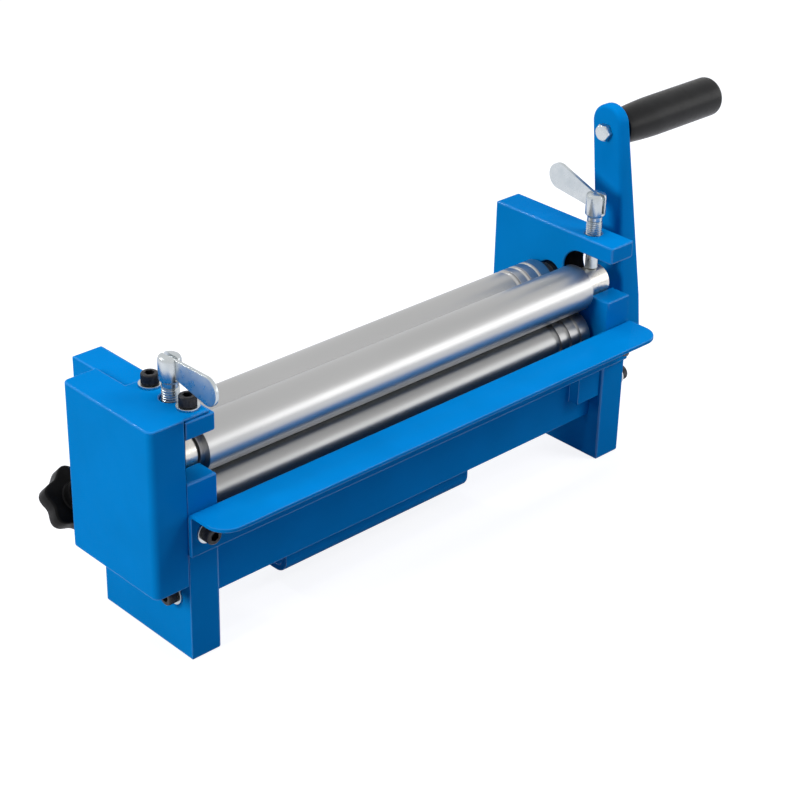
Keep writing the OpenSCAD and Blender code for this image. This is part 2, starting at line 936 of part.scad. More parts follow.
module upper_roller() {
    shaft_left = gear_out_x + side_gap;
    bush_gap = upper_bush_proud + 1;
    color("gainsboro")
        translate([0, roller_y, upper_z])
            difference() {
                union() {
                    roller_body(bush_gap, inner_w - bush_gap);
                    along_x(-plate_t - side_gap, 0, 0)
                        cylinder(d = journal_d, h = inner_w + plate_t + right_bush_in + side_gap);
                    flat_journal(shaft_left, gear_in_x - shaft_left + eps);
                }
                journal_tap(shaft_left, 1, gear_bolt_d);
            }
}

// Thumb screw: threaded shank down to the bush and a forked head for the tab.
module thumb_screw(x) {
    color("silver")
        difference() {
            translate([x, roller_y, 0])
                union() {
                    translate([0, 0, thumb_tip_z])
                        cylinder(d = thumb_tip_d, h = slot_h);
                    translate([0, 0, thumb_thread_z])
                        cylinder(d = thumb_d, h = neck_z - thumb_thread_z);
                    translate([0, 0, neck_z])
                        cylinder(d1 = thumb_d, d2 = fork_d, h = fork_z - neck_z);
                    translate([0, 0, fork_z])
                        chamfered(fork_d, fork_h, 1.5);
                }
            translate([x - tab_slot_w / 2, roller_y - fork_d, tab_pin_z - tab_floor])
                cube([tab_slot_w, 2 * fork_d, fork_h]);
            along_x(x - fork_d, roller_y, tab_pin_z)
                cylinder(r = tab_pin_d / 2 + hole_gap, h = 2 * fork_d);
        }
}

module tab_pin(x) {
    pin_len = 0.9 * fork_d;
    color("silver")
        along_x(x - pin_len / 2, roller_y, tab_pin_z)
            cylinder(d = tab_pin_d, h = pin_len);
}

// Tab of a thumb screw: a paddle that widens toward its round tip.
module tab(x, angle) {
    root_r = tab_root_h / 2;
    tip_r = tab_tip_h / 2;
    color("silver")
        translate([x - tab_t / 2, roller_y, tab_pin_z])
            rotate([angle, 0, 0])
                rotate([90, 0, 90])
                    difference() {
                        linear_extrude(tab_t)
                            union() {
                                circle(r = root_r);
                                polygon([[0, -root_r], [tab_len - tip_r, -tip_r],
                                    [tab_len - tip_r, tip_r], [0, root_r]]);
                                translate([tab_len - tip_r, 0])
                                    circle(r = tip_r);
                            }
                        translate([0, 0, -eps])
                            cylinder(r = tab_pin_d / 2 + run_gap, h = tab_t + 2 * eps);
                    }
}

module left_thumb_screw() {
    thumb_screw(left_mid_x);
}

module left_tab_pin() {
    tab_pin(left_mid_x);
}

module left_tab() {
    tab(left_mid_x, 180 + left_tab_droop);
}

module right_thumb_screw() {
    thumb_screw(right_mid_x);
}

module right_tab_pin() {
    tab_pin(right_mid_x);
}

module right_tab() {
    tab(right_mid_x, right_tab_rise);
}

// Rear bearing block: slides in the slanted slot and carries the roller's journal.
module rear_block(x) {
    color("gray")
        difference() {
            profile_x(x, plate_t - side_gap)
                translate([rear_y, rear_z])
                    rotate(-slide_angle)
                        stadium(block_len, block_w);
            along_x(x - eps, rear_y, rear_z)
                cylinder(r = journal_d / 2 + run_gap, h = plate_t);
            along_slide(x < 0 ? left_mid_x : right_mid_x)
                translate([0, 0, block_end - adjust_seat])
                    cylinder(r = adjust_d / 2 + run_gap, h = block_len);
        }
}

module rear_block_left() {
    rear_block(-plate_t + side_gap);
}

module rear_block_right() {
    rear_block(inner_w);
}

module rear_roller() {
    journal_inset = 1;
    color("gainsboro")
        translate([0, rear_y, rear_z])
            difference() {
                union() {
                    roller_body(side_gap, inner_w - side_gap);
                    along_x(-plate_t + journal_inset, 0, 0)
                        cylinder(d = journal_d, h = inner_w + 2 * (plate_t - journal_inset));
                }
                wire_grooves();
            }
}

// Adjusting screw from its seat in the block to the end of the knob's hub.
module adjusting_screw(x) {
    seat_gap = 0.1;
    start = block_end - adjust_seat + seat_gap;
    color("silver")
        along_slide(x)
            translate([0, 0, start])
                cylinder(d = adjust_d, h = knob_dist + knob_t / 2 - start);
}

// Star knob: a wavy disc with a round rim, on a hub toward the plate.
module star_knob(x) {
    rim_r = knob_d / 2;
    mean_r = rim_r - knob_hollow / 2;
    outline = [for (i = [0 : 10 * knob_lobes - 1]) let (a = i * 36 / knob_lobes)
        polar(mean_r + knob_hollow / 2 * cos(knob_lobes * a), a + 90)];
    color("black")
        along_slide(x)
            translate([0, 0, knob_dist])
                difference() {
                    union() {
                        intersection() {
                            linear_extrude(knob_t)
                                polygon(outline);
                            rotate_extrude()
                                difference() {
                                    square([rim_r, knob_t]);
                                    for (side = [0, 1])
                                        translate([rim_r - knob_round, side * (knob_t - knob_round)])
                                            difference() {
                                                square(knob_round + eps);
                                                translate([0, (1 - side) * knob_round])
                                                    circle(r = knob_round);
                                            }
                                }
                        }
                        translate([0, 0, -knob_hub_len])
                            cylinder(d = knob_hub_d, h = knob_hub_len + eps);
                    }
                    translate([0, 0, -knob_hub_len - eps])
                        cylinder(r = adjust_d / 2 + hole_gap, h = knob_hub_len + knob_t / 2 + eps);
                }
}

module left_adjusting_screw() {
    adjusting_screw(left_mid_x);
}

module left_star_knob() {
    star_knob(left_mid_x);
}

module right_adjusting_screw() {
    adjusting_screw(right_mid_x);
}

module right_star_knob() {
    star_knob(right_mid_x);
}

placed() left_side_plate();
placed() right_side_plate();
placed() front_table();
placed() table_screws();
placed() table_washers();
placed() tie_bar();
placed() tie_screws();
placed() tie_washers();
placed() vise_angle();
placed() vise_screws();
placed() gear_cover();
placed() cover_screws();
placed() cover_washers();
placed() lower_bush_left();
placed() lower_bush_right();
placed() lower_roller();
placed() lower_gear();
placed() lower_gear_washer();
placed() lower_gear_bolt();
placed() crank_arm();
placed() crank_washer();
placed() crank_bolt();
placed() handle_bolt();
placed() crank_grip();
placed() upper_bush_left();
placed() upper_bush_right();
placed() upper_roller();
placed() upper_gear();
placed() upper_gear_washer();
placed() upper_gear_bolt();
placed() left_thumb_screw();
placed() left_tab_pin();
placed() left_tab();
placed() right_thumb_screw();
placed() right_tab_pin();
placed() right_tab();
placed() rear_block_left();
placed() rear_block_right();
placed() rear_roller();
placed() left_adjusting_screw();
placed() left_star_knob();
placed() right_adjusting_screw();
placed() right_star_knob();
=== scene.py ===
"""Hand plate rolling machine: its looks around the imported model."""

import math

import bpy
from mathutils import Matrix, Vector


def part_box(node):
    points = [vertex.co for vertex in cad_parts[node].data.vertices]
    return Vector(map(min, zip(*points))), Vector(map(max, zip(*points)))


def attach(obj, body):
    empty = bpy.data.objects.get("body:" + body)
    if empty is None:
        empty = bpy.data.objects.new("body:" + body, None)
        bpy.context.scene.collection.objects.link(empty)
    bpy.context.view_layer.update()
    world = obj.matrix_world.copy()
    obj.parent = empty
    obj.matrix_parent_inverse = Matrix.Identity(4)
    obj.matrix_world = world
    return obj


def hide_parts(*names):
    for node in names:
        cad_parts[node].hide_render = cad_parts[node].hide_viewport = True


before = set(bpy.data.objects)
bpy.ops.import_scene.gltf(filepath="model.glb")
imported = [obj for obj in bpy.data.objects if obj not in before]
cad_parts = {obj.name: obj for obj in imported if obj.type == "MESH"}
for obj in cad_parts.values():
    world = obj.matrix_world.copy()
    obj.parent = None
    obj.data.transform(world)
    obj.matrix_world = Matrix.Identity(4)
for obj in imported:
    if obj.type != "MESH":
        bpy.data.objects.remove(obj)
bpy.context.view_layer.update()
bpy.context.scene.view_settings.view_transform = "Standard"

# Camera
# Stands in front of the machine's left end, a little above it, and looks along the
# rollers toward the crank. Its place is counted from the right plate's front foot.
SENSOR_MM, LENS_MM = 36, 90.416
SHIFT_X, SHIFT_Y = -0.003, 0.0009
AZIMUTH, ELEVATION, ROLL = -44.048, 28.742, 1.463
FROM_FOOT = (-0.877344, -0.724512, 0.660288)
right_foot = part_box("right_side_plate")[0]
camera_data = bpy.data.cameras.new("camera")
camera_data.sensor_width = SENSOR_MM
camera_data.lens = LENS_MM
camera_data.shift_x = SHIFT_X
camera_data.shift_y = SHIFT_Y
camera = bpy.data.objects.new("camera", camera_data)
bpy.context.collection.objects.link(camera)
bpy.context.scene.camera = camera
azimuth, elevation, roll = (math.radians(a) for a in (AZIMUTH, ELEVATION, ROLL))
camera_back = Vector((
    math.sin(azimuth) * math.cos(elevation),
    -math.cos(azimuth) * math.cos(elevation),
    math.sin(elevation),
))
level_right = (-camera_back).cross(Vector((0, 0, 1))).normalized()
level_up = level_right.cross(-camera_back)
camera_right = level_right * math.cos(roll) + level_up * math.sin(roll)
camera_up = level_up * math.cos(roll) - level_right * math.sin(roll)
turn = Matrix((camera_right, camera_up, camera_back)).transposed().to_4x4()
camera.matrix_world = Matrix.Translation(right_foot + Vector(FROM_FOOT)) @ turn

# Floor and light
# A wide pale floor in a room that camera and metal see white. Three soft lamps light
# the table, the tops and the cover's end, and two weaker ones that the metal mirrors
# draw the rollers' long highlights and those of the edges.
FLOOR_SIZE = 8
FLOOR_GREY = (0.3, 0.3, 0.3, 1)
FLOOR_ROUGHNESS = 0.9
FLOOR_LIFT = 0.85
ROOM_LIGHT = (0.06, 0.1, 0.28, 1)
WHITE = (1, 1, 1, 1)
LAMPS_AIM = (0, 0, 0.1)
bpy.ops.object.select_all(action="DESELECT")
bpy.ops.mesh.primitive_plane_add(size=FLOOR_SIZE)
floor = bpy.context.object
floor.name = "floor"
floor_paint = bpy.data.materials.new("floor_paint")
floor_paint.use_nodes = True
nodes, links = floor_paint.node_tree.nodes, floor_paint.node_tree.links
shader = nodes["Principled BSDF"]
shader.inputs["Base Color"].default_value = FLOOR_GREY
shader.inputs["Roughness"].default_value = FLOOR_ROUGHNESS
shader.inputs["Specular IOR Level"].default_value = 0
shader.inputs["Emission Color"].default_value = WHITE


def shown_ray(nodes, links):
    """One for rays that the eye follows straight or through a mirror, else nought."""
    seen = nodes.new("ShaderNodeLightPath")
    total = seen.outputs["Is Camera Ray"]
    for output in ("Is Glossy Ray", "Is Transmission Ray"):
        step = nodes.new("ShaderNodeMath")
        step.operation = "MAXIMUM"
        links.new(total, step.inputs[0])
        links.new(seen.outputs[output], step.inputs[1])
        total = step.outputs[0]
    return total


lift = nodes.new("ShaderNodeMath")
lift.operation = "MULTIPLY"
lift.inputs[1].default_value = FLOOR_LIFT
links.new(shown_ray(nodes, links), lift.inputs[0])
links.new(lift.outputs[0], shader.inputs["Emission Strength"])
floor.data.materials.append(floor_paint)

world = bpy.data.worlds.new("room")
bpy.context.scene.world = world
world.use_nodes = True
nodes, links = world.node_tree.nodes, world.node_tree.links
background = nodes["Background"]
level = nodes.new("ShaderNodeValToRGB")
level.color_ramp.elements[0].color = ROOM_LIGHT
level.color_ramp.elements[1].color = WHITE
links.new(shown_ray(nodes, links), level.inputs["Fac"])
links.new(level.outputs["Color"], background.inputs["Color"])

for name, place, width, height, power, mirrored in (
    ("table_lamp", (0.72, -0.85, 1.2), 0.5, 0.5, 8, False),
    ("top_lamp", (0.1, 0.1, 1.5), 0.8, 0.8, 11.5, False),
    ("cover_lamp", (-1.6, 0.1, 0.8), 0.6, 0.6, 23, False),
    ("roller_lamp", (0.88, -0.7, 0.43), 1.3, 0.45, 4, True),
    ("edge_lamp", (-0.62, 1.08, 1.3), 0.12, 0.12, 3, True),
):
    lamp_data = bpy.data.lights.new(name, "AREA")
    lamp_data.shape = "RECTANGLE"
    lamp_data.size = width
    lamp_data.size_y = height
    lamp_data.energy = power
    lamp = bpy.data.objects.new(name, lamp_data)
    bpy.context.collection.objects.link(lamp)
    lamp.location = place
    lamp.visible_glossy = mirrored
    lamp.rotation_euler = (Vector(LAMPS_AIM) - Vector(place)).to_track_quat("-Z", "Y").to_euler()


# Side plates
# Two boot-shaped plates, sawn from 20 mm steel and milled, with an open slot for the
# upper roller. Their corners are broken by hand and they are sprayed in blue enamel.
ENAMEL_BLUE = (0.0007, 0.19, 0.48, 1)
ENAMEL_TINT = (0.05, 0.5, 1, 1)
PLATE_EDGE = 0.0012
NOISE_LOW, NOISE_HIGH = 0.3, 0.7
WELD_GAP = 1e-6


def finish(name, colour, metallic, roughness):
    """A new material with these plain numbers on its shader."""
    made = bpy.data.materials.new(name)
    made.use_nodes = True
    shader = made.node_tree.nodes["Principled BSDF"]
    shader.inputs["Base Color"].default_value = colour
    shader.inputs["Metallic"].default_value = metallic
    shader.inputs["Roughness"].default_value = roughness
    return made


def grain(material, scale, stretch=(1, 1, 1), detail=3.0):
    """The noise of a finish, on the piece's own coordinates, in cells per metre."""
    nodes, links = material.node_tree.nodes, material.node_tree.links
    place = nodes.new("ShaderNodeTexCoord")
    mapping = nodes.new("ShaderNodeMapping")
    mapping.inputs["Scale"].default_value = stretch
    noise = nodes.new("ShaderNodeTexNoise")
    noise.inputs["Scale"].default_value = scale
    noise.inputs["Detail"].default_value = detail
    links.new(place.outputs["Object"], mapping.inputs["Vector"])
    links.new(mapping.outputs["Vector"], noise.inputs["Vector"])
    return noise.outputs["Fac"]


def vary(material, socket, noise, low, high):
    """Lets a noise move one number of the shader between two values."""
    nodes, links = material.node_tree.nodes, material.node_tree.links
    spread = nodes.new("ShaderNodeMapRange")
    spread.inputs["From Min"].default_value = NOISE_LOW
    spread.inputs["From Max"].default_value = NOISE_HIGH
    spread.inputs["To Min"].default_value = low
    spread.inputs["To Max"].default_value = high
    links.new(noise, spread.inputs["Value"])
    links.new(spread.outputs["Result"], nodes["Principled BSDF"].inputs[socket])


def tint(material, noise, low, high):
    """Lets a noise move the colour between two colours."""
    nodes, links = material.node_tree.nodes, material.node_tree.links
    ramp = nodes.new("ShaderNodeValToRGB")
    ramp.color_ramp.elements[0].position = NOISE_LOW
    ramp.color_ramp.elements[0].color = low
    ramp.color_ramp.elements[1].position = NOISE_HIGH
    ramp.color_ramp.elements[1].color = high
    links.new(noise, ramp.inputs["Fac"])
    links.new(ramp.outputs["Color"], nodes["Principled BSDF"].inputs["Base Color"])


def relief(material, noise, depth):
    """Presses a noise into the surface by a depth in metres."""
    nodes, links = material.node_tree.nodes, material.node_tree.links
    bump = nodes.new("ShaderNodeBump")
    bump.inputs["Strength"].default_value = 1
    bump.inputs["Distance"].default_value = depth
    links.new(noise, bump.inputs["Height"])
    links.new(bump.outputs["Normal"], nodes["Principled BSDF"].inputs["Normal"])


def eased(node, material, edge, sides=2, angle=35, edge_finish=None):
    """Gives a solid of the model broken edges and its finish, or another on the edges."""
    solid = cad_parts[node]
    solid.data.polygons.foreach_set("use_smooth", [True] * len(solid.data.polygons))
    weld = solid.modifiers.new("closed", "WELD")
    weld.merge_threshold = WELD_GAP
    flat = solid.modifiers.new("flat_faces", "DECIMATE")
    flat.decimate_type = "DISSOLVE"
    flat.angle_limit = math.radians(0.5)
    bevel = solid.modifiers.new("broken_edges", "BEVEL")
    bevel.width = edge
    bevel.segments = sides
    bevel.limit_method = "ANGLE"
    bevel.angle_limit = math.radians(angle)
    bevel.use_clamp_overlap = not edge_finish
    level_faces = solid.modifiers.new("level_faces", "WEIGHTED_NORMAL")
    level_faces.weight = 100
    solid.data.materials.clear()
    solid.data.materials.append(material)
    if edge_finish:
        solid.data.materials.append(edge_finish)
        bevel.material = 1


enamel = finish("blue_enamel", ENAMEL_BLUE, 0, 0.3)
shader = enamel.node_tree.nodes["Principled BSDF"]
shader.inputs["Specular IOR Level"].default_value = 0.001
shader.inputs["Specular Tint"].default_value = ENAMEL_TINT
shader.inputs["Coat Weight"].default_value = 0.02
shader.inputs["Coat Roughness"].default_value = 0.08
tint(enamel, grain(enamel, 35, detail=2), (0.0004, 0.182, 0.47, 1), (0.0006, 0.196, 0.51, 1))
vary(enamel, "Roughness", grain(enamel, 90), 0.24, 0.32)
relief(enamel, grain(enamel, 420, detail=1), 0.000002)
thick_enamel = enamel.copy()
thick_enamel.name = "thick_edge_enamel"
shader = thick_enamel.node_tree.nodes["Principled BSDF"]
shader.inputs["Coat Weight"].default_value = 0.5
shader.inputs["Coat Roughness"].default_value = 0.15

# The round ends of the open slots are bare and black with grease, and darker still with painted shade
# for the shadow deep in the slot.
GREASE_AND_SHADE = (0.006, 0.006, 0.007, 1)
GREASE_SHADE_R, GREASE_SHADE_BLEND = 0.0133, 0.0002
SLOT_BACK, SLOT_UP = 0.0018, 0.0095


def colour_socket(sockets, name):
    """The colour socket among those of one name on a mix node."""
    return next(socket for socket in sockets if socket.name == name and socket.type == "RGBA")


plate_enamel = enamel.copy()
plate_enamel.name = "plate_enamel"
nodes, links = plate_enamel.node_tree.nodes, plate_enamel.node_tree.links
roller_lo, roller_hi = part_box("upper_roller")
roller_y, roller_z = (roller_lo.y + roller_hi.y) / 2, (roller_lo.z + roller_hi.z) / 2
place = nodes.new("ShaderNodeTexCoord")
away = nodes.new("ShaderNodeVectorMath")
away.operation = "SUBTRACT"
away.inputs[1].default_value = (0, roller_y + SLOT_BACK, roller_z + SLOT_UP)
across = nodes.new("ShaderNodeVectorMath")
across.operation = "MULTIPLY"
across.inputs[1].default_value = (0, 1, 1)
far = nodes.new("ShaderNodeVectorMath")
far.operation = "LENGTH"
painted = nodes.new("ShaderNodeMapRange")
painted.inputs["From Min"].default_value = GREASE_SHADE_R
painted.inputs["From Max"].default_value = GREASE_SHADE_R + GREASE_SHADE_BLEND
# The slot's round end gets the grease-black, which also stands as painted shade for the deep recess.
mix = nodes.new("ShaderNodeMix")
mix.data_type = "RGBA"
colour_socket(mix.inputs, "A").default_value = GREASE_AND_SHADE
paint = nodes["Principled BSDF"].inputs["Base Color"]
links.new(place.outputs["Object"], away.inputs[0])
links.new(away.outputs["Vector"], across.inputs[0])
links.new(across.outputs["Vector"], far.inputs[0])
links.new(far.outputs["Value"], painted.inputs["Value"])
links.new(painted.outputs["Result"], mix.inputs["Factor"])
links.new(paint.links[0].from_socket, colour_socket(mix.inputs, "B"))
links.new(colour_socket(mix.outputs, "Result"), paint)
for node in ("left_side_plate", "right_side_plate"):
    eased(node, plate_enamel, PLATE_EDGE, sides=3, edge_finish=thick_enamel)

# Lower and upper bushes
# Plain bushes turned from sintered bronze. The lower ones are pressed flush into the
# plates, the upper ones lie in the plates' saddles on the upper roller's journals.
bronze = finish("bearing_bronze_skin", (0.5, 0.3, 0.13, 1), 1, 0.38)
tint(bronze, grain(bronze, 260), (0.42, 0.24, 0.1, 1), (0.56, 0.35, 0.17, 1))
vary(bronze, "Roughness", grain(bronze, 900), 0.3, 0.5)
relief(bronze, grain(bronze, 3200, detail=4), 0.00003)
for node in ("lower_bush_left", "lower_bush_right"):
    eased(node, bronze, 0.0003)
bush_steel = finish("bush_steel_skin", (0.62, 0.6, 0.56, 1), 1, 0.32)
vary(bush_steel, "Roughness", grain(bush_steel, 500), 0.25, 0.4)
relief(bush_steel, grain(bush_steel, 60, (60, 1, 1)), 0.00001)
for node in ("upper_bush_left", "upper_bush_right"):
    eased(node, bush_steel, 0.0002)

# Rollers
# Bar steel, turned and centreless ground, with journals and collars in one piece. The
# lower and the rear roller have three round grooves for wire near the crank.
for name, shade, nodes in (
    ("ground_steel", 0.44, ("upper_roller", "rear_roller")),
    # The lower roller's steel is made darker: painted shade for where it lies under the upper roller.
    ("ground_steel_painted_shade", 0.28, ("lower_roller",)),
):
    ground = finish(name, (shade, shade, shade, 1), 1, 0.34)
    low, high = 0.94 * shade, 1.06 * shade
    tint(ground, grain(ground, 6, (1, 3, 3), 2), (low, low, low, 1), (high, high, high, 1))
    vary(ground, "Roughness", grain(ground, 25, detail=2), 0.32, 0.36)
    relief(ground, grain(ground, 900, (12, 1, 1), 1), 0.00000005)
    for node in nodes:
        eased(node, ground, 0.0003)

# Rear bearing blocks
# Short steel bars with round ends that slide in the plates' slanted slots. Each is
# bored for the rear roller's journal and left bright and oiled.
block_steel = finish("oiled_block_steel", (0.35, 0.35, 0.36, 1), 1, 0.35)
vary(block_steel, "Roughness", grain(block_steel, 400), 0.25, 0.45)
relief(block_steel, grain(block_steel, 120, (1, 12, 12)), 0.00002)
for node in ("rear_block_left", "rear_block_right"):
    eased(node, block_steel, 0.0004)

# Tie bar, vise angle and feed table
# A flat bar screwed between the plates, an angle on its back that a vise grips, and a
# table of bent sheet across the plates' front. All are sprayed like the plates.
for node, edge in (("tie_bar", 0.0005), ("vise_angle", 0.0004), ("front_table", 0.0005)):
    eased(node, enamel, edge, edge_finish=thick_enamel)

# Socket screws and washers
# M6 socket screws, rolled and blackened, with a knurled head and a hexagon socket.
# They hold table, tie bar, vise angle and gear cover, most on a zinc-plated washer.
KNURLS, KNURL_ROOT = 40, 0.955
SCREW_D, SCREW_PITCH = 0.006, 0.001
HEAD_R, HEAD_H = 0.005, 0.006
SOCKET_R = 0.00285
ROOT_DEPTH, TIP_CHAMFER = 0.0006, 0.0006
SHORT_LENGTH, LONG_LENGTH = 0.016, 0.0365
TIE_PITCH = 0.016
FIT = 0.00002
CUT_GAP = 1e-7


def alone(*pieces):
    """Selects these pieces and nothing else."""
    bpy.ops.object.select_all(action="DESELECT")
    for piece in pieces:
        piece.select_set(True)
    bpy.context.view_layer.objects.active = pieces[0]


def turned(name, sides, steps):
    """A closed turned piece on the z axis, drawn out ring by ring as (radius, z)."""
    bpy.ops.object.select_all(action="DESELECT")
    radius, z = steps[0]
    bpy.ops.mesh.primitive_circle_add(
        vertices=sides, radius=radius, fill_type="NGON", location=(0, 0, 0),
    )
    piece = bpy.context.object
    piece.name = piece.data.name = name
    bpy.ops.object.mode_set(mode="EDIT")
    bpy.ops.mesh.select_all(action="SELECT")
    bpy.ops.transform.translate(value=(0, 0, z))
    for next_radius, next_z in steps[1:]:
        bpy.ops.mesh.extrude_region_move(TRANSFORM_OT_translate={"value": (0, 0, next_z - z)})
        grow = next_radius / radius
        bpy.ops.transform.resize(value=(grow, grow, 1), center_override=(0, 0, next_z))
        radius, z = next_radius, next_z
    bpy.ops.mesh.select_all(action="SELECT")
    bpy.ops.mesh.normals_make_consistent(inside=False)
    bpy.ops.object.mode_set(mode="OBJECT")
    return piece


def cut(piece, tool, operation="DIFFERENCE"):
    """Cuts a piece with a tool, which is then thrown away."""
    boolean = piece.modifiers.new("cut", "BOOLEAN")
    boolean.operation = operation
    boolean.solver = "EXACT"
    boolean.object = tool
    alone(piece)
    bpy.ops.object.modifier_apply(modifier=boolean.name)
    bpy.data.objects.remove(tool)
    return piece


def rounded(piece, width, sides=2, angle=35):
    """Breaks the sharp edges of a piece and shades it smooth."""
    alone(piece)
    bevel = piece.modifiers.new("broken_edges", "BEVEL")
    bevel.width = width
    bevel.segments = sides
    bevel.limit_method = "ANGLE"
    bevel.angle_limit = math.radians(angle)
    bpy.ops.object.modifier_apply(modifier=bevel.name)
    bpy.ops.object.shade_smooth_by_angle(angle=math.radians(28))
    return piece


def threaded(name, core_r, crest_r, pitch, start, end, sides=28):
    """A threaded rod on the z axis from start to end, cut square at both ends."""
    bpy.ops.object.select_all(action="DESELECT")
    bpy.ops.mesh.primitive_plane_add(size=pitch, location=(0, 0, 0))
    rod = bpy.context.object
    rod.name = rod.data.name = name
    bpy.ops.object.mode_set(mode="EDIT")
    bpy.ops.mesh.select_all(action="SELECT")
    bpy.ops.mesh.merge(type="CENTER")
    bpy.ops.transform.translate(value=(core_r, 0, start - 1.5 * pitch))
    depth = crest_r - core_r
    for out, up in ((0, 0.12), (depth, 0.32), (0, 0.12), (-depth, 0.32), (0, 0.12)):
        bpy.ops.mesh.extrude_vertices_move(TRANSFORM_OT_translate={"value": (out, 0, up * pitch)})
    bpy.ops.object.mode_set(mode="OBJECT")
    screw = rod.modifiers.new("helix", "SCREW")
    screw.axis = "Z"
    screw.angle = 2 * math.pi
    screw.screw_offset = pitch
    screw.iterations = int((end - start) / pitch) + 4
    screw.steps = screw.render_steps = sides
    bpy.ops.object.modifier_apply(modifier=screw.name)
    bpy.ops.object.mode_set(mode="EDIT")
    bpy.ops.mesh.select_all(action="SELECT")
    bpy.ops.mesh.remove_doubles(threshold=WELD_GAP)
    for level, direction in ((start, -1), (end, 1)):
        bpy.ops.mesh.select_all(action="SELECT")
        bpy.ops.mesh.bisect(
            plane_co=(0, 0, level), plane_no=(0, 0, direction),
            use_fill=True, clear_outer=True, threshold=CUT_GAP,
        )
    bpy.ops.mesh.select_all(action="SELECT")
    bpy.ops.mesh.normals_make_consistent(inside=False)
    bpy.ops.object.mode_set(mode="OBJECT")
    bpy.ops.object.shade_smooth_by_angle(angle=math.radians(28))
    return rod


def joined(name, *parts):
    """One piece made of several shells."""
    alone(*parts)
    if len(parts) > 1:
        bpy.ops.object.join()
    whole = bpy.context.object
    whole.name = whole.data.name = name
    return whole


def laid(piece, place, axis):
    """Turns a piece's z axis along another axis, moves it and fixes it there."""
    alone(piece)
    piece.rotation_mode = "QUATERNION"
    piece.rotation_quaternion = Vector((0, 0, 1)).rotation_difference(Vector(axis))
    piece.location = place
    bpy.ops.object.transform_apply(location=True, rotation=True, scale=True)
    return piece


def twin(piece, name):
    """A second piece of the same make, with its own mesh."""
    alone(piece)
    bpy.ops.object.duplicate()
    second = bpy.context.object
    second.name = second.data.name = name
    return second


def worn_by(piece, material, body, slot, *nodes):
    """Gives a finished piece its finish and its body, and hides the solids it stands for. The slot is
    not used.
    """
    piece.data.materials.clear()
    piece.data.materials.append(material)
    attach(piece, body)
    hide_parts(*nodes)


def socket_screw(name, length):
    """A screw with its knurled head on z = 0, its socket and its shank downward."""
    head = turned("head", 2 * KNURLS, [
        (HEAD_R - 0.0004, 0), (HEAD_R, 0.0003), (HEAD_R, HEAD_H - 0.0009),
        (HEAD_R - 0.0002, HEAD_H - 0.0004), (HEAD_R - 0.0008, HEAD_H),
    ])
    bpy.ops.object.mode_set(mode="EDIT")
    bpy.ops.mesh.select_all(action="DESELECT")
    bpy.ops.object.mode_set(mode="OBJECT")
    for index, vertex in enumerate(head.data.vertices):
        low_enough = 0.0002 < vertex.co.z < HEAD_H - 0.0008
        turn = round(math.atan2(vertex.co.y, vertex.co.x) * KNURLS / math.pi)
        vertex.select = low_enough and turn % 2 == 0
    bpy.ops.object.mode_set(mode="EDIT")
    bpy.ops.mesh.select_mode(type="VERT")
    bpy.ops.transform.resize(value=(KNURL_ROOT, KNURL_ROOT, 1), center_override=(0, 0, 0))
    bpy.ops.object.mode_set(mode="OBJECT")
    socket = turned("socket", 6, [(SOCKET_R, HEAD_H / 2), (SOCKET_R, HEAD_H + 0.001)])
    cut(head, socket)
    alone(head)
    bpy.ops.object.shade_smooth_by_angle(angle=math.radians(20))
    root, crest = SCREW_D / 2 - ROOT_DEPTH, SCREW_D / 2 - FIT
    shank = threaded("shank", root, crest, SCREW_PITCH, -length + TIP_CHAMFER, 0.0004, 20)
    tip = turned("tip", 20, [
        (SCREW_D / 2 - 0.0011, -length), (root, -length + TIP_CHAMFER + 0.0002),
    ])
    return joined(name, head, shank, tip)


black_oxide = finish("black_oxide", (0.018, 0.018, 0.02, 1), 0.7, 0.36)
tint(black_oxide, grain(black_oxide, 700), (0.012, 0.012, 0.013, 1), (0.03, 0.03, 0.033, 1))
vary(black_oxide, "Roughness", grain(black_oxide, 1500), 0.28, 0.48)
relief(black_oxide, grain(black_oxide, 5000, detail=4), 0.00001)
zinc = finish("bright_zinc", (0.52, 0.55, 0.56, 1), 1, 0.28)
tint(zinc, grain(zinc, 120), (0.47, 0.51, 0.53, 1), (0.56, 0.59, 0.6, 1))
vary(zinc, "Roughness", grain(zinc, 200), 0.24, 0.34)
relief(zinc, grain(zinc, 500, detail=2), 0.0000008)

table_lo, table_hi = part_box("table_screws")
cover_lo, cover_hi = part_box("cover_screws")
tie_lo, tie_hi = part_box("tie_screws")
vise_lo, vise_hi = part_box("vise_screws")
short = socket_screw("short_screw", SHORT_LENGTH)
screw_sets = (
    ("table_socket_screws", "table_screws", (0, -1, 0), [
        (table_lo.x + HEAD_R, table_lo.y + HEAD_H, (table_lo.z + table_hi.z) / 2),
        (table_hi.x - HEAD_R, table_lo.y + HEAD_H, (table_lo.z + table_hi.z) / 2),
    ]),
    ("cover_socket_screws", "cover_screws", (0, 0, 1), [
        ((cover_lo.x + cover_hi.x) / 2, cover_lo.y + HEAD_R, cover_hi.z - HEAD_H),
        ((cover_lo.x + cover_hi.x) / 2, cover_hi.y - HEAD_R, cover_hi.z - HEAD_H),
    ]),
)
for name, node, axis, places in screw_sets:
    screws = [laid(twin(short, f"{name}_{index}"), place, axis) for index, place in enumerate(places)]
    worn_by(joined(name, *screws), black_oxide, "frame", "blackened_screws", node)
bpy.data.objects.remove(short)
long_screw = socket_screw("long_screw", LONG_LENGTH)
screws = []
for side, x, y, z in (
    (-1, tie_lo.x + HEAD_H, tie_hi.y - HEAD_R, tie_lo.z + HEAD_R),
    (1, tie_hi.x - HEAD_H, tie_lo.y + HEAD_R, tie_hi.z - HEAD_R - TIE_PITCH),
):
    for height in (z, z + TIE_PITCH):
        screws.append(laid(twin(long_screw, "tie_screw"), (x, y, height), (side, 0, 0)))
